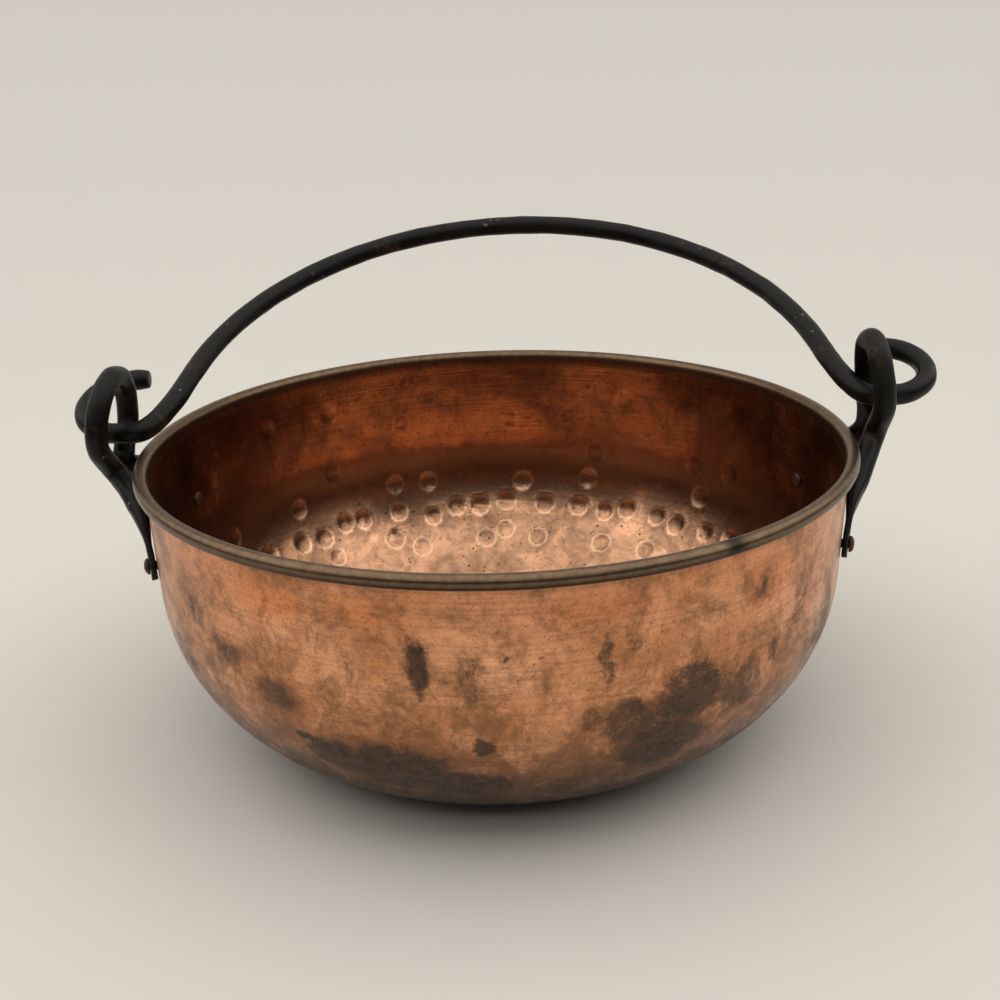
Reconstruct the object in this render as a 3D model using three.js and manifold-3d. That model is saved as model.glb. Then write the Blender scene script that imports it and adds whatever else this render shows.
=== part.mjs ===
// A round copper cauldron with a rolled rim, two forged iron ears and a swinging iron bail.
// Millimetres, +Z up. The origin is the centre of the flat base's underside.
// +X points to the right ear, and -Y to the front.

import * as THREE from 'three';
import { mergeVertices } from 'three/addons/utils/BufferGeometryUtils.js';
import Module from 'manifold-3d';

const wasm = await Module();
wasm.setup();

// Bowl
const RIM_RADIUS = 150; // outside of the rolled rim
const POT_HEIGHT = 122.4; // top of the rolled rim above the base
const SHEET = 1.4; // copper thickness
const CORNER_RADIUS = 74.5; // outside radius of the round between base and wall
const WALL_TAPER = THREE.MathUtils.degToRad(2.2); // wall leans out by this from upright
const BOWL_STEPS = 64; // flats round the bowl
const CORNER_STEPS = 11; // steps along the round

// Rolled rim and the wire inside it
const WIRE_RADIUS = 1.2;
const WIRE_PLAY = 0.3; // space between the wire and the rolled sheet
const ROLL_END = THREE.MathUtils.degToRad(-108); // the roll stops under the rim, short of the wall
const ROLL_STEPS = 9; // steps over the three quarters of the roll from inside to underneath

// Bail
const BAIL_BAR = 9.3; // bar diameter
const ARCH_INSET = 8; // the arch is narrower than the rim by this on each side
const ARCH_HALF_WIDTH = RIM_RADIUS - ARCH_INSET; // the arch is half of an ellipse of these half sizes
const ARCH_HALF_HEIGHT = 146;
const ARCH_CENTRE = 9.8; // height of the ellipse's centre above the hinge line
const ARCH_FOOT = 40; // the shoulder bend starts this far above the hinge line
const HOOK_STANDOFF = 31; // the curl's furthest point stands out from the rim by this
const HOOK_REACH = RIM_RADIUS + HOOK_STANDOFF;
const TIP_STANDOFF = 7.4; // the curled end is cut off this far out from the rim
const HOOK_TIP = RIM_RADIUS + TIP_STANDOFF;
const SHOULDER_STANDOFF = 5.7; // the bar leaves the hinge line for its shoulder bend this far out
const SHOULDER_START = RIM_RADIUS + SHOULDER_STANDOFF;
const BAIL_SHIFT = 4; // the bail hangs this far to the right
const BAIL_SKEW = 0.035; // and its arch leans right by this slope
const BAIL_LEAN = THREE.MathUtils.degToRad(69); // leans back from upright by this at rest
const BAIL_STEPS = 116;

// Ears
const EAR_BAR = 9.2; // bar diameter
const CROWN_TUCK = 2.4; // the top of the loop leans in by this
const EYE_ROOM = 14.75; // free height in the eye above the bail's bar
const CROWN_RISE = (EAR_BAR + BAIL_BAR) / 2 + EYE_ROOM; // middle of the loop's top above the hinge line
const CURL_ROOM = 0.75; // the right hook's curl clears the loop's top by this
// Radius of each curl's middle line
const RIGHT_HOOK = (CROWN_RISE + (EAR_BAR + BAIL_BAR) / 2 + CURL_ROOM) / 2;
const LEFT_HOOK = RIGHT_HOOK + 2;
const NECK_DROP = 15; // the legs pinch together this far below the hinge line
const NECK_GAP = 2; // space left between the pinched legs
// The forged ears differ a little: the bail's bar clears the rim by lift and the eye's legs by play,
// the ear's bar stands out from the rim by gap, and the loop twists by a slope
function eyeSizes({ lift, play, gap, twist }) {
  const height = POT_HEIGHT + BAIL_BAR / 2 + lift;
  const halfWidth = (EAR_BAR + BAIL_BAR) / 2 + play;
  const reach = RIM_RADIUS + EAR_BAR / 2 + gap;
  return { height, halfWidth, reach, twist };
}
const LEFT_EYE = eyeSizes({ lift: 1.45, play: 9.25, gap: 6.4, twist: 0.09 });
const RIGHT_EYE = eyeSizes({ lift: 7.45, play: 5.75, gap: 5.2, twist: 0 });
const FOOT_ANGLE = THREE.MathUtils.degToRad(15.5); // rivet's angle round the bowl from the ear's middle
const FOOT_THICKNESS = 2.4;
const FOOT_HALF_WIDTH = 5.8;
const FOOT_LENGTH = 20; // flattened part of the leg
const FOOT_TILT = THREE.MathUtils.degToRad(27); // the flattened leg splays out by this from upright
const LEG_FLARE = 0.7; // the leg's outside comes to stand off the wall by this slope above the foot
const FLARE_DROP = 32.4; // the leg starts to stand off this far below the rim's top
const FLARE_START = POT_HEIGHT - FLARE_DROP;
const FLARE_EASE = 8; // height over which the slope grows
const SEAT_GAP = 0.3; // space kept between pieces that rest on each other

// Rivets
const RIVET_DROP = 6; // rivet centre below the start of the leg's flare
const RIVET_HEIGHT = FLARE_START - RIVET_DROP;
const SHANK_RADIUS = 1.8;
const HOLE_RADIUS = SHANK_RADIUS + SEAT_GAP;
const HEAD_RADIUS = 3.3;
const HEAD_HEIGHT = 2;
const TAIL_RADIUS = 3.4;
const TAIL_HEIGHT = 1.3;
const RIVET_STEPS = 12;

// Sizes that follow from the ones above
const ROLL_INSIDE = WIRE_RADIUS + WIRE_PLAY;
const ROLL_OUTSIDE = ROLL_INSIDE + SHEET;
const ROLL_CENTRE_RADIUS = RIM_RADIUS - ROLL_OUTSIDE;
const ROLL_CENTRE_HEIGHT = POT_HEIGHT - ROLL_OUTSIDE;
const WALL_TOP = ROLL_CENTRE_HEIGHT - 2 * ROLL_OUTSIDE;
const WALL_TOP_RADIUS = ROLL_CENTRE_RADIUS - ROLL_INSIDE;
const CORNER_TOP = CORNER_RADIUS * (1 - Math.sin(WALL_TAPER));
const CORNER_CENTRE = WALL_TOP_RADIUS - (WALL_TOP - CORNER_TOP) * Math.tan(WALL_TAPER)
  - CORNER_RADIUS * Math.cos(WALL_TAPER);
const BAIL_RADIUS = BAIL_BAR / 2;
const EAR_RADIUS = EAR_BAR / 2;

const copper = new THREE.MeshStandardMaterial({ color: 0xb97f5c, roughness: 0.42, metalness: 0.9 });
const iron = new THREE.MeshStandardMaterial({ color: 0x2a2a27, roughness: 0.55, metalness: 0.6 });
const wireIron = new THREE.MeshStandardMaterial({ color: 0x3a3630, roughness: 0.7, metalness: 0.6 });

// Solids for cutting and joining
function toSolid(geometry) {
  const plain = geometry.clone();
  plain.deleteAttribute('normal');
  plain.deleteAttribute('uv');
  const merged = mergeVertices(plain, 1e-4);
  const corners = merged.index.array;
  const kept = [];
  for (let i = 0; i < corners.length; i += 3) {
    const [a, b, c] = [corners[i], corners[i + 1], corners[i + 2]];
    if (a !== b && b !== c && c !== a) kept.push(a, b, c);
  }
  const vertProperties = new Float32Array(merged.attributes.position.array);
  const triVerts = new Uint32Array(kept);
  return new wasm.Manifold(new wasm.Mesh({ numProp: 3, vertProperties, triVerts }));
}

function toGeometry(solid) {
  const mesh = solid.getMesh();
  const geometry = new THREE.BufferGeometry();
  geometry.setAttribute('position', new THREE.BufferAttribute(new Float32Array(mesh.vertProperties), 3));
  geometry.setIndex(new THREE.BufferAttribute(new Uint32Array(mesh.triVerts), 1));
  geometry.computeVertexNormals();
  return geometry;
}

function turned(profile, steps) {
  const points = profile.map(([radius, height]) => new THREE.Vector2(radius, height));
  return new THREE.LatheGeometry(points, steps).rotateX(Math.PI / 2);
}

function roundBar(radius, sides, line, steps) {
  const section = new THREE.Shape();
  for (let i = 0; i < sides; i += 1) {
    const turn = (i + 0.5) / sides * 2 * Math.PI;
    const [x, y] = [radius * Math.cos(turn), radius * Math.sin(turn)];
    if (i === 0) section.moveTo(x, y);
    else section.lineTo(x, y);
  }
  section.closePath();
  return new THREE.ExtrudeGeometry(section, { steps, bevelEnabled: false, extrudePath: line });
}

// Bowl
function wallRadius(height) {
  return WALL_TOP_RADIUS - (WALL_TOP - height) * Math.tan(WALL_TAPER);
}

function cornerPoint(part, offset) {
  const turn = -Math.PI / 2 + part * (Math.PI / 2 - WALL_TAPER);
  const radius = CORNER_RADIUS - offset;
  return [CORNER_CENTRE + radius * Math.cos(turn), CORNER_RADIUS + radius * Math.sin(turn)];
}

function cornerLine(offset) {
  const points = [];
  for (let i = 0; i <= CORNER_STEPS; i += 1) points.push(cornerPoint(i / CORNER_STEPS, offset));
  return points;
}

function rollPoint(radius, turn) {
  return [ROLL_CENTRE_RADIUS + radius * Math.cos(turn), ROLL_CENTRE_HEIGHT + radius * Math.sin(turn)];
}

function rollLine(radius) {
  const points = [];
  for (let i = 0; i <= ROLL_STEPS + 1; i += 1) {
    points.push(rollPoint(radius, Math.max(ROLL_END, Math.PI * (1 - 1.5 * i / ROLL_STEPS))));
  }
  return points;
}

function bowlProfile() {
  const upper = (WALL_TOP + CORNER_TOP) / 2;
  const outside = [[0, 0], ...cornerLine(0), [wallRadius(upper), upper], [WALL_TOP_RADIUS, WALL_TOP]];
  const rolled = [...rollLine(ROLL_INSIDE), ...rollLine(ROLL_OUTSIDE).reverse()];
  const inside = [[WALL_TOP_RADIUS - SHEET, WALL_TOP], ...cornerLine(SHEET).reverse(), [0, SHEET]];
  return [...outside, ...rolled, ...inside];
}

// Everything inside the bowl's outer surface, grown by the seat gap
function bowlEnvelope() {
  const grown = cornerLine(-SEAT_GAP);
  const bead = [];
  for (let i = 0; i <= 10; i += 1) {
    bead.push(rollPoint(ROLL_OUTSIDE + SEAT_GAP, Math.PI * (1.15 * i / 10 - 0.65)));
  }
  const profile = [[0, -SEAT_GAP], ...grown, [WALL_TOP_RADIUS + SEAT_GAP, WALL_TOP], ...bead];
  return turned([...profile, [0, POT_HEIGHT + SEAT_GAP]], BOWL_STEPS);
}

// Places a shape made along +Z so that +Z leaves the wall at a right angle at the given turn and height
function onWall(geometry, turn, height) {
  return geometry
    .rotateY(Math.PI / 2 + WALL_TAPER)
    .translate(wallRadius(height), 0, height)
    .rotateZ(turn);
}

const rivetTurns = [-FOOT_ANGLE, FOOT_ANGLE];

function rivetHole(turn) {
  const length = 40;
  const hole = new THREE.CylinderGeometry(HOLE_RADIUS, HOLE_RADIUS, length, RIVET_STEPS).rotateX(Math.PI / 2);
  return toSolid(onWall(hole, turn, RIVET_HEIGHT));
}

function bowl() {
  let solid = toSolid(turned(bowlProfile(), BOWL_STEPS));
  for (const turn of rivetTurns) {
    solid = solid.subtract(rivetHole(turn)).subtract(rivetHole(turn + Math.PI));
  }
  return toGeometry(solid);
}

function rimWire() {
  const ring = [];
  for (let i = 0; i <= 6; i += 1) {
    ring.push(rollPoint(WIRE_RADIUS, i / 6 * 2 * Math.PI));
  }
  ring[6] = ring[0];
  return toGeometry(toSolid(turned(ring, BOWL_STEPS)));
}

// Ears, made on the +X side
function legPoint(radius, turn, height) {
  return new THREE.Vector3(radius * Math.cos(turn), radius * Math.sin(turn), height);
}

function legSkin(height) {
  const foot = wallRadius(height) + SEAT_GAP + FOOT_THICKNESS;
  const above = Math.max(0, height - FLARE_START);
  return foot + LEG_FLARE * above * above / (above + FLARE_EASE);
}

function legMiddle(height) {
  const inner = wallRadius(height) + SEAT_GAP;
  const outer = legSkin(height);
  return Math.max((inner + outer) / 2, outer - EAR_RADIUS);
}

// One leg from beside the top of the loop down to its foot; side is 1 or -1 along Y
function earLeg(eye, side) {
  const low = POT_HEIGHT - 15;
  const loop = (tuck, y, rise) => {
    const x = eye.reach - tuck + eye.twist * side * y;
    return new THREE.Vector3(x, side * y, eye.height + rise);
  };
  return [
    loop(CROWN_TUCK * 0.9, eye.halfWidth * 0.62, CROWN_RISE * 0.86),
    loop(CROWN_TUCK * 0.3, eye.halfWidth * 0.97, CROWN_RISE * 0.42),
    loop(0, eye.halfWidth, 0),
    loop(CROWN_TUCK * 0.3, EAR_RADIUS + NECK_GAP / 2, -NECK_DROP),
    legPoint(legMiddle(low), side * FOOT_ANGLE * 0.48, low),
    legPoint(legMiddle(FLARE_START + FLARE_EASE), side * FOOT_ANGLE * 0.74, FLARE_START + FLARE_EASE),
    legPoint(legMiddle(RIVET_HEIGHT), side * FOOT_ANGLE, RIVET_HEIGHT),
  ];
}

function earLine(eye) {
  const crown = new THREE.Vector3(eye.reach - CROWN_TUCK, 0, eye.height + CROWN_RISE);
  const points = [...earLeg(eye, -1).reverse(), crown, ...earLeg(eye, 1)];
  return new THREE.CatmullRomCurve3(points, false, 'centripetal');
}

function footStrap(turn) {
  const outline = new THREE.Shape();
  outline.absarc(0, 0, FOOT_HALF_WIDTH, Math.PI, 2 * Math.PI, false);
  outline.lineTo(EAR_RADIUS - 0.6, FOOT_LENGTH);
  outline.lineTo(0.6 - EAR_RADIUS, FOOT_LENGTH);
  outline.closePath();
  const depth = 2 * EAR_BAR;
  const stand = SEAT_GAP + 2 * FOOT_THICKNESS;
  const strap = new THREE.ExtrudeGeometry(outline, { depth, bevelEnabled: false, curveSegments: 10 });
  strap.translate(0, 0, stand - depth).rotateZ(Math.PI / 2 + Math.sign(turn) * FOOT_TILT);
  return onWall(strap, turn, RIVET_HEIGHT);
}

function legLimit() {
  const bottom = RIVET_HEIGHT - 3 * FOOT_HALF_WIDTH;
  const side = [[legSkin(bottom), bottom]];
  for (const part of [0, 0.5, 1, 1.6, 2.4, 3.4, 5]) {
    const height = FLARE_START + part * FLARE_EASE;
    side.push([legSkin(height), height]);
  }
  const wide = 2 * RIM_RADIUS;
  const [, shelf] = side[side.length - 1];
  const top = POT_HEIGHT + 4 * CROWN_RISE;
  return turned([[0, bottom], ...side, [wide, shelf], [wide, top], [0, top]], BOWL_STEPS);
}

function ear(eye) {
  let solid = toSolid(roundBar(EAR_RADIUS, 10, earLine(eye), 48));
  for (const turn of rivetTurns) solid = solid.add(toSolid(footStrap(turn)));
  solid = solid.intersect(toSolid(legLimit())).subtract(toSolid(bowlEnvelope()));
  for (const turn of rivetTurns) solid = solid.subtract(rivetHole(turn));
  return toGeometry(solid);
}

// Rivets, made along +Z with the bowl's outer wall at zero
function rivet() {
  const under = FOOT_THICKNESS + 2 * SEAT_GAP;
  const inner = -SHEET - SEAT_GAP;
  const head = [];
  const tail = [];
  for (let i = 0; i <= 4; i += 1) {
    const turn = i / 4 * Math.PI / 2;
    head.push([HEAD_RADIUS * Math.cos(turn), under + HEAD_HEIGHT * Math.sin(turn)]);
    tail.push([TAIL_RADIUS * Math.sin(turn), inner - TAIL_HEIGHT * Math.cos(turn)]);
  }
  head[4] = [0, under + HEAD_HEIGHT];
  tail[0] = [0, inner - TAIL_HEIGHT];
  const profile = [...tail, [SHANK_RADIUS, inner], [SHANK_RADIUS, under], ...head];
  return turned(profile, RIVET_STEPS);
}

// Bail, drawn flat: x along the hinge line, y up the bail
function archPoint(turn) {
  return [ARCH_HALF_WIDTH * Math.cos(turn), ARCH_CENTRE + ARCH_HALF_HEIGHT * Math.sin(turn)];
}

function shoulderPoints() {
  const start = Math.asin((ARCH_FOOT - ARCH_CENTRE) / ARCH_HALF_HEIGHT);
  const [x, y] = archPoint(start);
  const slope = ARCH_HALF_WIDTH / ARCH_HALF_HEIGHT * Math.tan(start);
  const pull = ARCH_FOOT * 0.55;
  const bend = new THREE.CubicBezierCurve(
    new THREE.Vector2(SHOULDER_START, 0),
    new THREE.Vector2(SHOULDER_START - 7, 0),
    new THREE.Vector2(x + slope * pull, y - pull),
    new THREE.Vector2(x, y),
  );
  const points = bend.getPoints(7).map((point) => [point.x, point.y]);
  for (let i = 1; i <= 11; i += 1) points.push(archPoint(start + (Math.PI / 2 - start) * i / 11));
  return points;
}

// From the cut end of one hook to the top of the arch; side is 1 or -1 along x
function halfBail(hook, side) {
  const middle = HOOK_REACH - hook;
  const points = [[HOOK_TIP, 2 * hook]];
  for (let i = 0; i <= 12; i += 1) {
    const turn = Math.PI / 2 - i / 12 * Math.PI;
    points.push([middle + hook * Math.cos(turn), hook + hook * Math.sin(turn)]);
  }
  points.push(...shoulderPoints());
  return points.map(([x, y]) => new THREE.Vector3(side * x + BAIL_SHIFT + BAIL_SKEW * y, 0, y));
}

function bailLine() {
  const left = halfBail(LEFT_HOOK, -1);
  const right = halfBail(RIGHT_HOOK, 1).reverse();
  return new THREE.CatmullRomCurve3([...left, ...right.slice(1)], false, 'centripetal');
}

// Assembly
function piece(name, geometry, material) {
  const mesh = new THREE.Mesh(geometry, material);
  mesh.name = name;
  return mesh;
}

function earGroup(side, eye, turn) {
  const group = new THREE.Group();
  group.add(piece(`ear_${side}`, ear(eye), iron));
  const backTurn = FOOT_ANGLE * Math.cos(turn);
  group.add(piece(`rivet_${side}_front`, onWall(rivet(), -backTurn, RIVET_HEIGHT), iron));
  group.add(piece(`rivet_${side}_back`, onWall(rivet(), backTurn, RIVET_HEIGHT), iron));
  group.rotation.z = turn;
  return group;
}

function bailGroup() {
  const rise = RIGHT_EYE.height - LEFT_EYE.height;
  const hinge = new THREE.Group();
  hinge.position.z = (RIGHT_EYE.height + LEFT_EYE.height) / 2;
  hinge.rotation.y = -Math.atan(rise / (LEFT_EYE.reach + RIGHT_EYE.reach));
  const swing = new THREE.Group();
  swing.rotation.x = -BAIL_LEAN;
  swing.add(piece('bail', roundBar(BAIL_RADIUS, 10, bailLine(), BAIL_STEPS), iron));
  hinge.add(swing);
  return hinge;
}

const cauldron = new THREE.Group();
cauldron.add(piece('bowl', bowl(), copper));
cauldron.add(piece('rim_wire', rimWire(), wireIron));
cauldron.add(earGroup('left', LEFT_EYE, Math.PI));
cauldron.add(earGroup('right', RIGHT_EYE, 0));
cauldron.add(bailGroup());

export default cauldron;
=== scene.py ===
"""The looks of a copper cauldron with forged iron ears and a bail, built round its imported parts."""

import itertools
import math
import random
from collections import namedtuple

import bmesh
import bpy
from mathutils import Matrix, Vector, noise


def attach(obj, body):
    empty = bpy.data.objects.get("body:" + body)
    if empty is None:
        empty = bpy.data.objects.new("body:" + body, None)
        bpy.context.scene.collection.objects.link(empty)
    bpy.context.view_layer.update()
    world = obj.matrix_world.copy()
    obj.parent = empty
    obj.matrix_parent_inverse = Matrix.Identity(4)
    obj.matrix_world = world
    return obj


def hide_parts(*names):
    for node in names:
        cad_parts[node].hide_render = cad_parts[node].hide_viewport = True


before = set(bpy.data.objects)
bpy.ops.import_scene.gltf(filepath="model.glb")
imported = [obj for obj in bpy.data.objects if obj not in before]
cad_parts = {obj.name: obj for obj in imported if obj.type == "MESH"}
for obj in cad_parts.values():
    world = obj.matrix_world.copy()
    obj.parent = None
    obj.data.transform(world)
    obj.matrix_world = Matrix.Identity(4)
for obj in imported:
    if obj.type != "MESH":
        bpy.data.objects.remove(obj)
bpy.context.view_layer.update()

MM = 0.001
QUARTER_TURN = math.pi / 2
MERGE = 0.001 * MM

# Bowl, with the same sizes as the solid
RIM_RADIUS = 150 * MM
POT_HEIGHT = 122.4 * MM
SHEET = 1.4 * MM
CORNER_RADIUS = 74.5 * MM
WALL_TAPER = math.radians(2.2)
ROLL_INSIDE = 1.5 * MM
ROLL_OUTSIDE = 2.9 * MM
ROLL_END = math.radians(-108)
ROLL_R = RIM_RADIUS - ROLL_OUTSIDE
ROLL_Z = POT_HEIGHT - ROLL_OUTSIDE
WALL_TOP = ROLL_Z - 2 * ROLL_OUTSIDE
WALL_TOP_R = ROLL_R - ROLL_INSIDE
CORNER_TOP = CORNER_RADIUS * (1 - math.sin(WALL_TAPER))
CORNER_TOP_R = WALL_TOP_R - (WALL_TOP - CORNER_TOP) * math.tan(WALL_TAPER)
CORNER_R = CORNER_TOP_R - CORNER_RADIUS * math.cos(WALL_TAPER)

# Steps of the bowl's mesh; the inside is finer, because its hammer marks are real hollows
BOWL_TURNS = 660
OUTSIDE_STEPS = {"base": 4, "corner": 16, "wall": 6}
INSIDE_STEPS = {"base": 6, "corner": 72, "wall": 18}
ROLL_STEPS = {"inside": 6, "outside": 12}

# What tells the bowl's rim, outside and inside apart
RIM_FROM = ROLL_Z - ROLL_OUTSIDE - 0.1 * MM
RIM_INNER_R = WALL_TOP_R - 2 * SHEET
UNDERSIDE_TOP = 0.5 * SHEET
OUTER_SKIN = 0.7 * SHEET

# Waves of the hand-worked sheet: each has a scale and a height
RIM_WAVE = (18, 0.1 * MM)
OUTSIDE_WAVES = ((32, 0.1 * MM), (75, 0.05 * MM))
INSIDE_WAVES = ((45, 0.12 * MM), (110, 0.05 * MM))
OUTSIDE_SINK = 0.14 * MM
INSIDE_RISE = 0.05 * MM
WAVES_FROM = 20 * MM
RIM_WAVE_LEVEL = 3

# Rings of hammer marks: height in mm, count, share left out, depth in mm
HAMMER_ROWS = (
    (40, 54, 0.06, 0.8),
    (27.5, 46, 0.2, 0.7),
    (55, 42, 0.5, 0.55),
    (70, 32, 0.65, 0.4),
    (86, 30, 0.68, 0.35),
    (101, 28, 0.75, 0.32),
)
HAMMER_SEED = 7
HAMMER_STRAY = 0.3
HAMMER_DRIFT_MM = 2.8
HAMMER_DEPTHS = (0.75, 1.05)
HAMMER_SIZES_MM = (4.8, 5.8)
MARK_REACH = 1.35
LIP_PLACE = 1.02
LIP_WIDTH = 0.14
LIP_HEIGHT = 0.16
DEEPEST_MARK = 0.95 * MM
CELL = 12 * MM
NEIGHBOUR_CELLS = tuple(itertools.product((-1, 0, 1), repeat=3))

# Round bars of ears and bail: the solids have ten flats, so a round bar that fits in them is thinner
BAR_SIDES = 28
FLATS = 0.965
ROUND_POWER = 2.0

# Ears: the eyes' sizes, their bend, and the legs that flare from the wall and end in flat feet
LEFT_EYE = {"height": 128.5 * MM, "wide": 18.5 * MM, "reach": 161 * MM, "twist": 0.09}
RIGHT_EYE = {"height": 134.5 * MM, "wide": 15 * MM, "reach": 159.8 * MM, "twist": 0.0}
EAR_RADIUS = 4.6 * MM
EYE_TUCK = 2.4 * MM
EYE_RISE = 24 * MM
EYE_BEND = ((0.9, 0.62, 0.86), (0.3, 0.97, 0.42), (0, 1, 0))
NECK_TUCK = 0.3
NECK_DROP = 15 * MM
NECK_HALF_GAP = 1 * MM
SEAT_GAP = 0.3 * MM
FLARE_HEIGHT = 90 * MM
FLARE_SLOPE = 0.7
FLARE_EASE = 8 * MM
FOOT_ANGLE = math.radians(15.5)
FOOT_THICKNESS = 2.4 * MM
FOOT_HALF_WIDTH = 5.8 * MM
FOOT_SQUARENESS = 2.2
FOOT_FLATS = 0.94
FOOT_ROUND = (0.25, 0.5, 0.7, 0.85, 0.95, 0.99)
RIVET_HEIGHT = 84 * MM
LEG_TOP = POT_HEIGHT - 15 * MM
LEG_SPLAY = ((LEG_TOP, 0.48), (98 * MM, 0.74), (RIVET_HEIGHT, 1.0))
EAR_STEPS = 9
EASE_ROUNDS = 10
EASE_DROP = 8 * MM

# Rivets
TAIL_RADIUS = 3.4 * MM
TAIL_HEIGHT = 1.3 * MM
TAIL_STEPS = 8
SHANK_RADIUS = 1.8 * MM
HEAD_RADIUS = 3.3 * MM
HEAD_HEIGHT = 2 * MM
HEAD_FULLNESS = 0.8
HEAD_STEPS = 10
RIVET_SIDES = 28

# Bail: half of it lies flat with the hinge line along its foot, then leans back
BAIL_RADIUS = 4.65 * MM
BAIL_LEAN = math.radians(69)
BAIL_POWER = 2.05
BAIL_STEPS = 7
ARCH_HALF_WIDTH = 142 * MM
ARCH_HALF_HEIGHT = 146 * MM
ARCH_BASE = 9.8 * MM
ARCH_START = 40 * MM
ARCH_STEPS = 11
ARCH_SHIFT = 4 * MM
ARCH_SKEW = 0.035
SHOULDER = 155.7 * MM
SHOULDER_LEAD = 7 * MM
SHOULDER_PULL = 22 * MM
SHOULDER_STEPS = 7
HOOK_REACH = 181 * MM
HOOK_TIP = 157.4 * MM
HOOK_STEPS = 12
LEFT_HOOK = 19 * MM
RIGHT_HOOK = 17 * MM
TIP_SHARE = 0.86
TIP_GAIN = 0.02
TIP_BEVEL = 0.7 * MM

# Forged skin of the iron: fineness and depth; a negative depth stands out instead of sinking in
EAR_SKIN = (110, -0.35 * MM)
RIVET_SKIN = (420, 0.22 * MM)
BAIL_SKIN = (95, 0.3 * MM)
COARSE_SHARE = 0.7
FINE_SHARE = 0.3
FINER = 2.3
SKIN_SINK = 0.35

Station = namedtuple("Station", "centre across thick half_width half_thickness power")


# Mesh tools
def new_object(name, build):
    bm = bmesh.new()
    build(bm)
    bmesh.ops.recalc_face_normals(bm, faces=bm.faces[:])
    mesh = bpy.data.meshes.new(name)
    bm.to_mesh(mesh)
    bm.free()
    mesh.shade_smooth()
    obj = bpy.data.objects.new(name, mesh)
    bpy.context.scene.collection.objects.link(obj)
    return obj


def spin_profile(bm, profile, steps):
    verts = [bm.verts.new((radius, 0, z)) for radius, z in profile]
    edges = [bm.edges.new(pair) for pair in zip(verts, verts[1:])]
    bmesh.ops.spin(
        bm, geom=verts + edges, cent=(0, 0, 0), axis=(0, 0, 1), dvec=(0, 0, 0),
        angle=2 * math.pi, steps=steps, use_merge=True,
    )
    bmesh.ops.remove_doubles(bm, verts=bm.verts[:], dist=MERGE)


def extrude_edges(bm, edges):
    """Extrudes the edges on the spot, and gives the new points and edges."""
    made = bmesh.ops.extrude_edge_only(bm, edges=edges)["geom"]
    points = [item for item in made if isinstance(item, bmesh.types.BMVert)]
    lines = [item for item in made if isinstance(item, bmesh.types.BMEdge)]
    return points, [line for line in lines if all(end in points for end in line.verts)]


def squared(part, power):
    return math.copysign(abs(part) ** (2 / power), part)


def place_ring(points, station):
    """Moves a ring of radius 1 to its station; a power over 2 makes it squarer."""
    for point in points:
        x = squared(point.co.x, station.power) * station.half_width
        y = squared(point.co.y, station.power) * station.half_thickness
        point.co = station.centre + station.across * x + station.thick * y


def sweep(bm, stations):
    """Extrudes a ring from station to station and closes both ends."""
    bmesh.ops.create_circle(bm, cap_ends=False, segments=BAR_SIDES, radius=1.0)
    points = bm.verts[:]
    first_edges = bm.edges[:]
    edges = first_edges
    for station in stations[:-1]:
        next_points, next_edges = extrude_edges(bm, edges)
        place_ring(points, station)
        points = next_points
        edges = next_edges
    place_ring(points, stations[-1])
    for loop in (first_edges, edges):
        bmesh.ops.edgeloop_fill(bm, edges=loop)
    bmesh.ops.recalc_face_normals(bm, faces=bm.faces[:])


def roughen(bm, scale, depth):
    """Moves the skin along its normals by a coarse and a fine wave, mostly to one side."""
    bm.normal_update()
    moves = []
    for point in bm.verts:
        coarse = noise.noise(point.co * scale) * COARSE_SHARE
        fine = noise.noise(point.co * scale * FINER) * FINE_SHARE
        moves.append((point, point.normal * (coarse + fine - SKIN_SINK) * depth))
    for point, move in moves:
        point.co += move


def curve_point(four, knots, at):
    """A point of the smooth curve between the middle two of four points."""
    def between(a, b, start, end):
        return a.lerp(b, (at - start) / (end - start))

    sides = [between(four[i], four[i + 1], knots[i], knots[i + 1]) for i in range(3)]
    before = between(sides[0], sides[1], knots[0], knots[2])
    after = between(sides[1], sides[2], knots[1], knots[3])
    return between(before, after, knots[1], knots[2])


def smooth_line(points, per_span):
    """Points along a centripetal Catmull-Rom curve through the given points."""
    longer = [points[0] * 2 - points[1]] + points + [points[-1] * 2 - points[-2]]
    line = []
    for four in zip(longer, longer[1:], longer[2:], longer[3:]):
        knots = [0.0]
        for a, b in zip(four, four[1:]):
            knots.append(knots[-1] + math.sqrt((b - a).length))
        for step in range(per_span):
            at = knots[1] + (knots[2] - knots[1]) * step / per_span
            line.append(curve_point(four, knots, at))
    line.append(points[-1])
    return line


def eased(line, rounds, top):
    """The same line with its sharp bends below the given height eased; its ends stay."""
    for _ in range(rounds):
        middle = []
        for before, here, after in zip(line, line[1:], line[2:]):
            middle.append(here if here.z > top else (before + here * 2 + after) / 4)
        line = [line[0]] + middle + [line[-1]]
    return line


def headings(line):
    """The way ahead at each point of a line."""
    before = [line[0]] + line[:-1]
    after = line[1:] + [line[-1]]
    return [(b - a).normalized() for a, b in zip(before, after)]


# Bowl
def wall_radius(z):
    return WALL_TOP_R - (WALL_TOP - z) * math.tan(WALL_TAPER)


def outer_radius(z):
    if z >= CORNER_TOP:
        return wall_radius(z)
    return CORNER_R + math.sqrt(max(0.0, CORNER_RADIUS ** 2 - (CORNER_RADIUS - z) ** 2))


def arc(centre, radius, start, end, steps):
    points = []
    for i in range(steps + 1):
        turn = start + (end - start) * i / steps
        points.append((centre[0] + radius * math.cos(turn), centre[1] + radius * math.sin(turn)))
    return points


def corner_line(offset, steps):
    centre = (CORNER_R, CORNER_RADIUS)
    return arc(centre, CORNER_RADIUS - offset, -QUARTER_TURN, -WALL_TAPER, steps)


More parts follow.
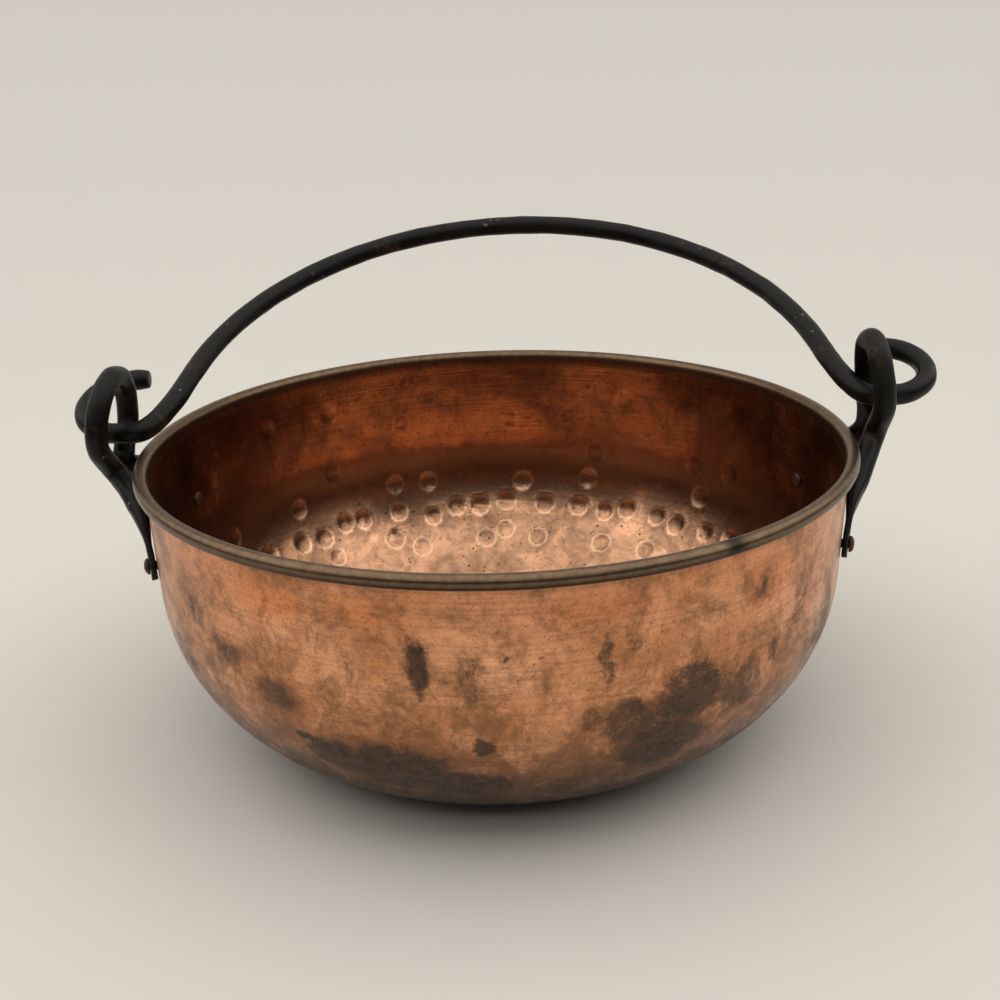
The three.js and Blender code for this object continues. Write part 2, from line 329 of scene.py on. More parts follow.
def roll_line(radius, steps):
    return arc((ROLL_R, ROLL_Z), radius, math.pi, ROLL_END, steps)


def straight(a, b, steps):
    """The points between two points, without the two."""
    points = []
    for i in range(1, steps):
        points.append((a[0] + (b[0] - a[0]) * i / steps, a[1] + (b[1] - a[1]) * i / steps))
    return points


def outside_profile():
    middle = (0.0, 0.0)
    corner = corner_line(0, OUTSIDE_STEPS["corner"])
    top = (WALL_TOP_R, WALL_TOP)
    base = [middle] + straight(middle, corner[0], OUTSIDE_STEPS["base"])
    wall = straight(corner[-1], top, OUTSIDE_STEPS["wall"]) + [top]
    return base + corner + wall


def inside_profile():
    middle = (0.0, SHEET)
    corner = corner_line(SHEET, INSIDE_STEPS["corner"])
    top = (WALL_TOP_R - SHEET, WALL_TOP)
    base = [middle] + straight(corner[0], middle, INSIDE_STEPS["base"])[::-1]
    wall = straight(top, corner[-1], INSIDE_STEPS["wall"])[::-1] + [top]
    return base + corner + wall


def bowl_profile():
    """The sheet's outline from under the base, out over the rolled rim and back to the base's inside."""
    inner_roll = roll_line(ROLL_INSIDE, ROLL_STEPS["inside"])
    outer_roll = roll_line(ROLL_OUTSIDE, ROLL_STEPS["outside"])
    return outside_profile() + inner_roll + outer_roll[::-1] + inside_profile()[::-1]


def cell_of(place):
    return tuple(round(part / CELL) for part in place)


def hammer_cells():
    """The hammer marks as (place, size, depth), sorted into cells of space."""
    pick = random.Random(HAMMER_SEED)
    cells = {}
    for row_height, count, left_out, row_depth in HAMMER_ROWS:
        for i in range(count):
            if pick.random() < left_out:
                continue
            turn = (i + pick.uniform(-HAMMER_STRAY, HAMMER_STRAY)) / count * 2 * math.pi
            height = (row_height + pick.uniform(-HAMMER_DRIFT_MM, HAMMER_DRIFT_MM)) * MM
            depth = row_depth * pick.uniform(*HAMMER_DEPTHS) * MM
            size = pick.uniform(*HAMMER_SIZES_MM) * MM
            place = on_wall(outer_radius(height) - SHEET, turn, height)
            cells.setdefault(cell_of(place), []).append((place, size, depth))
    return cells


def hammered(co, cells):
    """How deep the marks push a point, and how near it is to the middle of one."""
    push = 0.0
    near = 0.0
    x, y, z = cell_of(co)
    for dx, dy, dz in NEIGHBOUR_CELLS:
        for place, size, depth in cells.get((x + dx, y + dy, z + dz), ()):
            part = (co - place).length / size
            if part < MARK_REACH:
                hollow = max(0.0, 1 - part * part)
                lip = math.exp(-((part - LIP_PLACE) / LIP_WIDTH) ** 2)
                push += depth * (hollow - LIP_HEIGHT * lip)
                near = max(near, 1.0 - part)
    return push, near


def on_wall(radius, turn, z):
    return Vector((radius * math.cos(turn), radius * math.sin(turn), z))


def bowl_side(co):
    radius = math.hypot(co.x, co.y)
    if co.z > RIM_FROM and radius > RIM_INNER_R:
        return "rim"
    if co.z < UNDERSIDE_TOP or radius > outer_radius(co.z) - OUTER_SKIN:
        return "outside"
    return "inside"


def sideways(co):
    return Vector((co.x, co.y, 0)).normalized()


def through_sheet(co):
    """The way from the inside to the outside: down in the base and sideways in the wall."""
    if math.hypot(co.x, co.y) < CORNER_R:
        return Vector((0, 0, -1))
    if co.z > CORNER_TOP:
        return sideways(co)
    return (co - sideways(co) * CORNER_R - Vector((0, 0, CORNER_RADIUS))).normalized()


def waves(co, rows):
    return sum(noise.noise(co * scale) * height for scale, height in rows)


def rim_move(co):
    scale, height = RIM_WAVE
    wave = noise.noise(Vector((co.x * scale, co.y * scale, RIM_WAVE_LEVEL))) * height
    return sideways(co) * (wave - OUTSIDE_SINK)


def outside_move(co):
    fade = min(1.0, co.z / WAVES_FROM)
    return sideways(co) * (waves(co, OUTSIDE_WAVES) - OUTSIDE_SINK) * fade


def inside_move(co, push):
    depth = waves(co, INSIDE_WAVES) - INSIDE_RISE + push
    return through_sheet(co) * min(depth, DEEPEST_MARK)


def shape_bowl(bm):
    """Spins the sheet, dents it, and marks its points for the copper's colours; the nearness to a hammer
    mark places painted highlights.
    """
    spin_profile(bm, bowl_profile(), BOWL_TURNS)
    cells = hammer_cells()
    inside_layer = bm.verts.layers.float.new("inside")
    rim_layer = bm.verts.layers.float.new("rim")
    mark_layer = bm.verts.layers.float.new("mark")
    for point in bm.verts:
        side = bowl_side(point.co)
        if side == "rim":
            point[rim_layer] = 1.0
            point.co += rim_move(point.co)
        elif side == "outside":
            point.co += outside_move(point.co)
        else:
            push, near = hammered(point.co, cells)
            point[inside_layer] = 1.0
            point[mark_layer] = near
            point.co += inside_move(point.co, push)


# Ears
def leg_skin(z):
    """The radius of a leg's outer face, which flares away from the wall higher up."""
    above = max(0.0, z - FLARE_HEIGHT)
    return wall_radius(z) + SEAT_GAP + FOOT_THICKNESS + FLARE_SLOPE * above * above / (above + FLARE_EASE)


def leg_middle(z):
    inner = wall_radius(z) + SEAT_GAP
    outer = leg_skin(z)
    return max((inner + outer) / 2, outer - EAR_RADIUS)


def leg_thickness(z):
    return min(EAR_RADIUS, (leg_skin(z) - wall_radius(z) - SEAT_GAP) / 2)


def ear_leg(eye, side):
    """One leg's points, from beside the crown round the eye and down to the foot; side is -1 or 1."""
    def loop(tuck, y, rise):
        x = eye["reach"] - EYE_TUCK * tuck + eye["twist"] * side * y
        return Vector((x, side * y, eye["height"] + rise))

    points = [loop(tuck, eye["wide"] * wide, EYE_RISE * rise) for tuck, wide, rise in EYE_BEND]
    points.append(loop(NECK_TUCK, EAR_RADIUS + NECK_HALF_GAP, -NECK_DROP))
    for z, splay in LEG_SPLAY:
        points.append(on_wall(leg_middle(z), side * FOOT_ANGLE * splay, z))
    return points


def ear_line(eye):
    crown = Vector((eye["reach"] - EYE_TUCK, 0, eye["height"] + EYE_RISE))
    line = smooth_line(ear_leg(eye, -1)[::-1] + [crown] + ear_leg(eye, 1), EAR_STEPS)
    return eased(line, EASE_ROUNDS, eye["height"] - EASE_DROP)


def with_round_feet(line):
    """The line drawn out at both ends, and each point's share of the full width."""
    first = (line[0] - line[1]).normalized()
    last = (line[-1] - line[-2]).normalized()
    front = [line[0] + first * FOOT_HALF_WIDTH * part for part in FOOT_ROUND[::-1]]
    back = [line[-1] + last * FOOT_HALF_WIDTH * part for part in FOOT_ROUND]
    ends = [math.sqrt(1 - part * part) for part in FOOT_ROUND]
    return front + line + back, ends[::-1] + [1.0] * len(line) + ends


def ear_station(centre, ahead, share):
    """A round station in the eye, and a flat one against the wall in the legs."""
    out = sideways(centre)
    thick = (out - ahead * out.dot(ahead)).normalized()
    across = ahead.cross(thick).normalized()
    if centre.z >= LEG_TOP:
        return Station(centre, across, thick, EAR_RADIUS * FLATS * share, EAR_RADIUS * FLATS, ROUND_POWER)
    half_thickness = leg_thickness(centre.z)
    flat = 1 - half_thickness / EAR_RADIUS
    half_width = EAR_RADIUS + (FOOT_HALF_WIDTH - EAR_RADIUS) * min(1.0, flat * 2)
    radius = max(math.hypot(centre.x, centre.y), leg_middle(centre.z))
    centre = out * radius + Vector((0, 0, centre.z))
    power = ROUND_POWER + FOOT_SQUARENESS * flat
    return Station(centre, across, thick, half_width * FLATS * share, half_thickness * FOOT_FLATS, power)


def make_ear(name, eye, turned):
    line, shares = with_round_feet(ear_line(eye))
    stations = [ear_station(*row) for row in zip(line, headings(line), shares)]

    def build(bm):
        sweep(bm, stations)
        roughen(bm, *EAR_SKIN)
        if turned:
            half_turn = Matrix.Rotation(math.pi, 3, "Z")
            bmesh.ops.rotate(bm, verts=bm.verts[:], cent=(0, 0, 0), matrix=half_turn)

    return new_object(name, build)


# Rivets
def rivet_profile():
    """From the tail inside the bowl to the head on the foot; heights count from the wall."""
    tail = -SHEET - SEAT_GAP
    head = FOOT_THICKNESS + 2 * SEAT_GAP
    profile = []
    for i in range(TAIL_STEPS + 1):
        turn = QUARTER_TURN * i / TAIL_STEPS
        profile.append((TAIL_RADIUS * math.sin(turn), tail - TAIL_HEIGHT * math.cos(turn)))
    profile += [(SHANK_RADIUS, tail), (SHANK_RADIUS, head)]
    for i in range(HEAD_STEPS):
        turn = QUARTER_TURN * i / HEAD_STEPS
        profile.append((HEAD_RADIUS * math.cos(turn), head + HEAD_HEIGHT * math.sin(turn) ** HEAD_FULLNESS))
    profile.append((0.0, head + HEAD_HEIGHT))
    return profile


def make_rivet(name, turn):
    place = Matrix.Rotation(turn, 4, "Z")
    place = place @ Matrix.Translation((wall_radius(RIVET_HEIGHT), 0, RIVET_HEIGHT))
    place = place @ Matrix.Rotation(QUARTER_TURN + WALL_TAPER, 4, "Y")

    def build(bm):
        spin_profile(bm, rivet_profile(), RIVET_SIDES)
        roughen(bm, *RIVET_SKIN)
        bmesh.ops.transform(bm, matrix=place, verts=bm.verts[:])

    return new_object(name, build)


# Bail
def arch(turn):
    return (ARCH_HALF_WIDTH * math.cos(turn), ARCH_BASE + ARCH_HALF_HEIGHT * math.sin(turn))


def hook_line(hook):
    points = [(HOOK_TIP, 2 * hook)]
    return points + arc((HOOK_REACH - hook, hook), hook, QUARTER_TURN, -QUARTER_TURN, HOOK_STEPS)


def shoulder_line(start):
    """The bend from the eye up to where the arch starts, as a cubic curve."""
    x, y = arch(start)
    slope = ARCH_HALF_WIDTH / ARCH_HALF_HEIGHT * math.tan(start)
    bend = (
        Vector((SHOULDER, 0)),
        Vector((SHOULDER - SHOULDER_LEAD, 0)),
        Vector((x + slope * SHOULDER_PULL, y - SHOULDER_PULL)),
        Vector((x, y)),
    )
    points = []
    for i in range(SHOULDER_STEPS + 1):
        t = i / SHOULDER_STEPS
        u = 1 - t
        weights = (u ** 3, 3 * t * u ** 2, 3 * t ** 2 * u, t ** 3)
        points.append(sum((p * w for p, w in zip(bend, weights)), Vector((0, 0))))
    return points


def half_bail(hook, side):
    """Half the bail from its hook's tip to its crown, lying flat; side is -1 or 1."""
    start = math.asin((ARCH_START - ARCH_BASE) / ARCH_HALF_HEIGHT)
    points = hook_line(hook) + shoulder_line(start)
    for i in range(1, ARCH_STEPS + 1):
        points.append(arch(start + (QUARTER_TURN - start) * i / ARCH_STEPS))
    return [Vector((side * x + ARCH_SHIFT + ARCH_SKEW * y, y, 0)) for x, y in points]


def bail_stations():
    """The bar's stations on the plane that leans back from the line through both eyes."""
    flat = half_bail(LEFT_HOOK, -1) + half_bail(RIGHT_HOOK, 1)[::-1][1:]
    slant = (RIGHT_EYE["height"] - LEFT_EYE["height"]) / (RIGHT_EYE["reach"] + LEFT_EYE["reach"])
    along = Vector((1, 0, slant)).normalized()
    upright = Vector((-slant, 0, 1)).normalized()
    rise = upright * math.cos(BAIL_LEAN) + Vector((0, math.sin(BAIL_LEAN), 0))
    facing = along.cross(rise).normalized()
    hinge = Vector((0, 0, (RIGHT_EYE["height"] + LEFT_EYE["height"]) / 2))
    line = [hinge + along * point.x + rise * point.y for point in smooth_line(flat, BAIL_STEPS)]
    stations = []
    for i, (centre, ahead) in enumerate(zip(line, headings(line))):
        from_end = min(i, len(line) - 1 - i)
        size = BAIL_RADIUS * FLATS * min(1.0, TIP_SHARE + TIP_GAIN * from_end)
        stations.append(Station(centre, facing, ahead.cross(facing), size, size, BAIL_POWER))
    return stations


def end_edges(bm):
    """The edges round a swept bar's two flat ends."""
    ends = [face for face in bm.faces if len(face.verts) > 4]
    return [edge for face in ends for edge in face.edges]


def make_bail():
    def build(bm):
        sweep(bm, bail_stations())
        bmesh.ops.bevel(
            bm, geom=end_edges(bm), offset=TIP_BEVEL, offset_type="OFFSET", segments=2, profile=0.5,
            affect="EDGES", material=-1, clamp_overlap=True,
        )
        roughen(bm, *BAIL_SKIN)

    return new_object("bail_look", build)


# Colours of the copper's outside
DULL_COPPER = (0.64, 0.275, 0.125, 1)
BRIGHT_COPPER = (0.92, 0.455, 0.25, 1)
# Orange of the painted highlights below the rim
HIGHLIGHT_COPPER = (0.94, 0.31, 0.10, 1)
RED_COPPER = (0.66, 0.25, 0.11, 1)
BRUSHED_BROWN = (0.40, 0.18, 0.10, 1)
# Bloom and stain colours; low on the outside they also paint shade
BROWN_BLOOM_AND_SHADE = (0.25, 0.115, 0.058, 1)
BROWN_SPECK = (0.14, 0.07, 0.04, 1)
BLACK_STAIN_AND_SHADE = (0.03, 0.021, 0.015, 1)
BROWN_STAIN_AND_SHADE = (0.10, 0.058, 0.036, 1)

# Colours of the copper's inside, from the wall down to the round
WALL_BROWN = (0.24, 0.105, 0.06, 1)
WALL_ORANGE = (0.62, 0.265, 0.125, 1)
WALL_SCRATCH = (0.20, 0.085, 0.05, 1)
WALL_GRIME = (0.10, 0.05, 0.034, 1)
WALL_STREAK = (0.08, 0.036, 0.024, 1)
# Painted reflection: the brown band between the wall and the round
REFLECTION_BAND_BROWN = (0.19, 0.11, 0.07, 1)
ROUND_PALE = (0.60, 0.32, 0.185, 1)
ROUND_BROWN = (0.30, 0.16, 0.095, 1)
ROUND_GRIME = (0.20, 0.11, 0.07, 1)
PIT_BLACK = (0.03, 0.02, 0.015, 1)
# Painted highlight on the rims of the hammer marks
MARK_EDGE_HIGHLIGHT = (0.90, 0.54, 0.34, 1)

# Colours of the rolled rim
BEAD_LIGHT = (0.20, 0.13, 0.08, 1)
BEAD_BROWN = (0.14, 0.09, 0.056, 1)
# Painted shade under the bead
BEAD_UNDERSIDE_SHADE = (0.04, 0.028, 0.02, 1)
BEAD_SPOT = (0.02, 0.02, 0.015, 1)

# Colours of the iron
IRON_BLACK = (0.0035, 0.0035, 0.003, 1)
IRON_GREY = (0.010, 0.0095, 0.0083, 1)
RUST = (0.085, 0.04, 0.02, 1)
BARE_CHIP = (0.25, 0.23, 0.2, 1)
BROWNED_IRON = (0.11, 0.05, 0.03, 1)

# Colours of the floor, the lights and the world
FLOOR_COLOUR = (0.74, 0.72, 0.675, 1)
FLOOR_ROUGH = 0.7
LIGHT_COLOUR = (1.0, 0.975, 0.93)
WORLD_COLOUR = (1.0, 0.97, 0.92, 1)

# Marks on the outside and the rim, and painted highlights: turn in degrees, height, half width and half
# height in mm, strength
STAINS = (
    (-101.4, 87, 4.5, 13, 1.0), (-94, 84, 7, 9, 0.6), (-89, 89, 1.6, 1.6, 0.8), (-84.6, 89.4, 1.6, 1.6, 0.8),
    (-75.9, 87, 2.8, 12, 0.75), (-71.5, 92, 5, 3, 0.6), (-62.5, 66, 17, 13, 1.0), (-72, 60, 12, 11, 0.85),
    (-66, 48, 20, 10, 0.9), (-53, 62, 12, 12, 0.75), (-92.8, 55, 4, 3.4, 0.85), (-78.2, 64, 4, 5, 0.6),
    (-66.2, 103, 1.6, 1.6, 0.8), (-46.8, 72, 4, 5, 0.7), (-49.9, 99, 2.4, 9, 0.6), (-40, 84, 5, 14, 0.55),
    (-106, 42, 19, 11, 0.9), (-96, 35, 15, 8, 0.8), (-116, 44, 12, 9, 0.7), (-124.5, 65, 10, 7, 0.65),
    (-119.9, 50, 5, 1.9, 1.4), (-134.2, 77, 8, 7, 0.65), (-141, 88, 5, 9, 0.6), (-112, 84, 4, 10, 0.4),
    (-150, 62, 12, 12, 0.6), (-30, 66, 14, 14, 0.6), (10, 55, 18, 16, 0.7), (45, 80, 8, 16, 0.6),
    (75, 62, 18, 14, 0.8), (110, 70, 14, 18, 0.7), (140, 55, 20, 14, 0.8), (172, 72, 12, 16, 0.7),
)
# Painted orange highlights, most of them just below the rim
PAINTED_HIGHLIGHTS = (
    (-124, 104, 18, 7, 1.0), (-109, 106, 12, 5, 0.8), (-48, 99, 14, 9, 0.6), (-78, 106, 16, 4, 0.5),
    (-89, 66, 12, 9, 0.35), (0, 98, 20, 9, 0.7), (62, 102, 22, 7, 0.8), (128, 98, 20, 9, 0.7),
    (175, 104, 14, 6, 0.8),
)
RIM_MARKS = ((-57.5, 119, 6, 5, 1.0),)
SPOT_FADE = (1.35, 0.55)
SPOT_WANDER = (0.014, 0.014, 0.018)


# Noises: scale, detail, roughness and warp
BROAD_NOISE = (24, 6, 0.62, 0.5)
CLOUD_NOISE = (58, 8, 0.68, 0.5)
GRAIN_NOISE = (330, 6, 0.7)
SPECK_NOISE = (1100, 3, 0.65)
WANDER_NOISE = (85, 6, 0.7)
PATCH_NOISE = (20, 6, 0.65, 0.4)
LINE_NOISE = (1.0, 3, 0.6)
LINE_STRETCH = (16, 16, 950)
STREAK_NOISE = (1.0, 4, 0.6)
STREAK_STRETCH = (220, 220, 12)
PIT_SCALE = 300
IRON_NOISE = (45, 4, 0.6)
SCALE_NOISE = (380, 5, 0.65)
RUST_NOISE = (75, 4, 0.6)
CHIP_NOISE = (130, 3, 0.7)
LUMP_NOISE = (150, 3, 0.6)

# Metal share, roughness from low to high, and bump strength and height
CLEAN_METAL = 0.98
DIRT_AND_SHADE_METAL = 0.6
OUTSIDE_ROUGH = (0.25, 0.38)
INSIDE_ROUGH = (0.17, 0.29)
DIRT_AND_SHADE_ROUGH = 0.14
RIM_ROUGH = 0.34
COPPER_BUMP = (0.25, 0.4 * MM)
IRON_METAL = 0.1
BROWNED_METAL = 0.7
IRON_ROUGH = (0.34, 0.5)
IRON_SHINE = 0.2
IRON_BUMP = (0.3, 0.6 * MM)


# Materials
class Nodes:
    """Short ways to add and join shader nodes, which are laid out in rows."""

    PER_ROW = 12
    STEP_X = 180
    STEP_Y = 220

    def __init__(self, tree):
        self.tree = tree
        self.count = 0

    def add(self, kind, values=(), **props):
        node = self.tree.nodes.new(kind)
        self.count += 1
        row, column = divmod(self.count, self.PER_ROW)
        node.location = (column * self.STEP_X, -row * self.STEP_Y)
        for key, value in props.items():
            setattr(node, key, value)
        for key, value in dict(values).items():
            self.put(node.inputs[key], value)
        return node

    def put(self, socket, value):
        if isinstance(value, bpy.types.NodeSocket):
            self.tree.links.new(value, socket)
        else:
            socket.default_value = value

    def math(self, operation, a, b):
        node = self.add("ShaderNodeMath", operation=operation)
        self.put(node.inputs[0], a)
        self.put(node.inputs[1], b)
        return node.outputs[0]

    def vector(self, operation, *parts):
        node = self.add("ShaderNodeVectorMath", operation=operation)
        for socket, part in zip(node.inputs, parts):
            self.put(socket, part)
        return node

    def total(self, *rows):
        """The sum of values, each times its weight."""
        whole = None
        for value, weight in rows:
            part = self.math("MULTIPLY", value, weight)
            whole = part if whole is None else self.math("ADD", whole, part)
        return whole

    def ramp(self, value, low, high, start=0.0, end=1.0):
        values = {"Value": value, "From Min": low, "From Max": high, "To Min": start, "To Max": end}
        return self.add("ShaderNodeMapRange", values, interpolation_type="SMOOTHSTEP").outputs[0]

    def noise(self, vector, scale, detail, rough, warp=0.0, output="Fac"):
        values = {"Vector": vector, "Scale": scale, "Detail": detail, "Roughness": rough}
        node = self.add("ShaderNodeTexNoise", values)
        self.put(node.inputs["Distortion"], warp)
        return node.outputs[output]

    def mix(self, part, a, b):
        node = self.add("ShaderNodeMix", data_type="RGBA")
        for index, value in ((0, part), (6, a), (7, b)):
            self.put(node.inputs[index], value)
        return node.outputs[2]

    def blend(self, part, a, b):
        node = self.add("ShaderNodeMix", data_type="FLOAT")
        for index, value in ((0, part), (2, a), (3, b)):
            self.put(node.inputs[index], value)
        return node.outputs[0]

    def stretch(self, vector, scale):
        return self.add("ShaderNodeMapping", {"Vector": vector, "Scale": scale}).outputs[0]

    def attribute(self, name):
        return self.add("ShaderNodeAttribute", attribute_name=name).outputs["Fac"]

    def object_place(self):
        return self.add("ShaderNodeTexCoord").outputs["Object"]

    def bump(self, height, strength, distance):
        values = {"Strength": strength, "Distance": distance, "Height": height}
        return self.add("ShaderNodeBump", values).outputs[0]


def new_group(name, inputs, outputs):
    """A node group with its sockets; gives its nodes, what it is given and what it sends out."""
    tree = bpy.data.node_groups.new(name, "ShaderNodeTree")
    for way, sockets in (("INPUT", inputs), ("OUTPUT", outputs)):
        for socket, kind in sockets.items():
            tree.interface.new_socket(socket, in_out=way, socket_type=kind)
    n = Nodes(tree)
    return n, n.add("NodeGroupInput").outputs, n.add("NodeGroupOutput").inputs


def spot_group():
    """A soft-edged mask round a centre: 1 inside the radius, 0 outside."""
    inputs = {
        "Place": "NodeSocketVector",
        "Centre": "NodeSocketVector",
        "Stretch": "NodeSocketVector",
        "Radius": "NodeSocketFloat",
    }
    n, given, sent = new_group("soft_spot", inputs, {"Mask": "NodeSocketFloat"})
    away = n.vector("SUBTRACT", given["Place"], given["Centre"])
    scaled = n.vector("MULTIPLY", away.outputs[0], given["Stretch"])
    length = n.vector("LENGTH", scaled.outputs[0]).outputs["Value"]
    n.put(sent["Mask"], n.ramp(n.math("DIVIDE", length, given["Radius"]), *SPOT_FADE))
    return n.tree


def mark_mask(n, place, group, marks):
    """One mask for a list of marks: each is a soft spot on the bowl's outside; the lists hold stains, rim
    marks and painted highlights.
    """
    whole = 0.0
    for turn, height, wide, tall, strength in marks:
        values = {
            "Place": place,
            "Centre": on_wall(outer_radius(height * MM), math.radians(turn), height * MM),
            "Stretch": (1, 1, wide / tall),
            "Radius": wide * MM,
        }
        spot = n.add("ShaderNodeGroup", node_tree=group)
        for key, value in values.items():
            n.put(spot.inputs[key], value)
        whole = n.math("MAXIMUM", whole, n.math("MULTIPLY", spot.outputs["Mask"], strength))
    return whole


def new_material(name):
    material = bpy.data.materials.new(name)
    material.use_nodes = True
    tree = material.node_tree
    for node in list(tree.nodes):
        if node.type != "OUTPUT_MATERIAL":
            tree.nodes.remove(node)
    n = Nodes(tree)
    shader = n.add("ShaderNodeBsdfPrincipled")
    n.put(tree.nodes["Material Output"].inputs["Surface"], shader.outputs[0])
    return material, n, shader.inputs


def clean_outside(n, place, height, lines, cloud, highlights):
    """Bright and dull copper with painted orange highlights, redder below the rim, with brush lines round
    it.
    """
    broad = n.noise(place, *BROAD_NOISE)
    colour = n.mix(n.ramp(broad, 0.36, 0.62), DULL_COPPER, BRIGHT_COPPER)
    # Painted orange highlights
    highlight = n.math("MULTIPLY", highlights, n.ramp(cloud, 0.36, 0.6, start=0.25))
    colour = n.mix(highlight, colour, HIGHLIGHT_COPPER)
    colour = n.mix(n.ramp(height, 88 * MM, 114 * MM, end=0.55), colour, RED_COPPER)
    return n.mix(n.ramp(lines, 0.42, 0.72, end=0.45), colour, BRUSHED_BROWN)


def outside_colour(n, place, height, lines, cloud, grain, stains, highlights):
    """Copper with brown bloom, specks and dark stains; bloom and dark stain grow lower down as painted
    shade; gives colour and the mask of dirt and painted shade.
    """
    colour = clean_outside(n, place, height, lines, cloud, highlights)
    specks = n.noise(place, *SPECK_NOISE)
    # Darker towards the bottom: painted shade
    low_shade_in_bloom = n.ramp(height, 90 * MM, 30 * MM, end=0.17)
    bloom_and_shade = n.total((cloud, 0.75), (grain, 0.35), (low_shade_in_bloom, 1.0), (stains, 0.12))
    colour = n.mix(n.ramp(bloom_and_shade, 0.46, 0.72, end=0.88), colour, BROWN_BLOOM_AND_SHADE)
    colour = n.mix(n.ramp(specks, 0.56, 0.68, end=0.6), colour, BROWN_SPECK)
    # More dark stain towards the bottom: painted shade
    low_shade_in_stains = n.ramp(height, 66 * MM, 12 * MM, end=0.42)
    dirt_and_shade = n.total((stains, 0.4), (cloud, 0.6), (grain, 0.4), (low_shade_in_stains, 1.0), (specks, 0.35))
    dirt_and_shade = n.ramp(dirt_and_shade, 0.79, 1.12)
    dark = n.mix(n.ramp(grain, 0.4, 0.62), BLACK_STAIN_AND_SHADE, BROWN_STAIN_AND_SHADE)
    return n.mix(n.math("MULTIPLY", dirt_and_shade, 0.9), colour, dark), dirt_and_shade


def inside_wall(n, place, height, lines, grain):
    """Red-brown wall with scratched orange patches, grime and upright streaks."""
    patches = n.noise(place, *PATCH_NOISE)
    patches = n.math("MULTIPLY", patches, n.ramp(height, 62 * MM, 78 * MM, start=0.4))
    streaks = n.noise(n.stretch(place, STREAK_STRETCH), *STREAK_NOISE)
    colour = n.mix(n.ramp(patches, 0.38, 0.62), WALL_BROWN, WALL_ORANGE)
    colour = n.mix(n.ramp(lines, 0.42, 0.7, end=0.5), colour, WALL_SCRATCH)
    colour = n.mix(n.ramp(grain, 0.52, 0.66, end=0.6), colour, WALL_GRIME)
    return n.mix(n.ramp(streaks, 0.6, 0.78, end=0.6), colour, WALL_STREAK)


def inside_pits(n, place, height, grain):
    """A mask of small round pits, low in the bowl only."""
    values = {"Vector": place, "Scale": PIT_SCALE, "Randomness": 1.0}
    away = n.add("ShaderNodeTexVoronoi", values, feature="F1").outputs["Distance"]
    pits = n.math("MULTIPLY", n.ramp(away, 0.26, 0.12), n.ramp(grain, 0.5, 0.58))
    return n.math("MULTIPLY", pits, n.ramp(height, 60 * MM, 42 * MM))


def inside_colour(n, place, height, lines, cloud, grain):
    """The wall, a brown band under it that is a painted reflection, and the paler round with painted
    highlights round its hammer marks; gives colour and pits.
    """
    wall = inside_wall(n, place, height, lines, grain)
    low = n.mix(n.ramp(cloud, 0.36, 0.64), ROUND_PALE, ROUND_BROWN)
    low = n.mix(n.ramp(grain, 0.5, 0.66, end=0.5), low, ROUND_GRIME)
    colour = n.mix(n.ramp(height, 46 * MM, 66 * MM), low, wall)
    # The brown band between wall and round is a painted reflection
    reflection_band = n.math("MULTIPLY", n.ramp(height, 50 * MM, 60 * MM), n.ramp(height, 78 * MM, 66 * MM))
    colour = n.mix(n.math("MULTIPLY", reflection_band, 0.6), colour, REFLECTION_BAND_BROWN)
    pits = inside_pits(n, place, height, grain)
    colour = n.mix(pits, colour, PIT_BLACK)
    # Lighter rings round the hammer marks, low in the bowl: painted highlights
    mark = n.attribute("mark")
    edge = n.math("MULTIPLY", n.ramp(mark, 0.0, 0.04), n.ramp(mark, 0.3, 0.1))
    edge = n.math("MULTIPLY", edge, n.ramp(height, 62 * MM, 50 * MM, 0.1, 0.45))
    return n.mix(edge, colour, MARK_EDGE_HIGHLIGHT), pits


def rim_colour(n, height, grain, spots):
    colour = n.mix(n.ramp(grain, 0.36, 0.66), BEAD_LIGHT, BEAD_BROWN)
    # The bead's underside is darker: painted shade
    colour = n.mix(n.ramp(height, ROLL_Z + 0.4 * MM, ROLL_Z - 1.8 * MM), colour, BEAD_UNDERSIDE_SHADE)
    return n.mix(spots, colour, BEAD_SPOT)


def wandering(n, place):
    """The place shifted by noise, so that the edges of the stains and painted highlights are ragged."""
    shift = n.noise(place, *WANDER_NOISE, output="Color")
    half = [-part / 2 for part in SPOT_WANDER]
    small = n.vector("MULTIPLY_ADD", shift, SPOT_WANDER, half)
    return n.vector("ADD", place, small.outputs[0]).outputs[0]


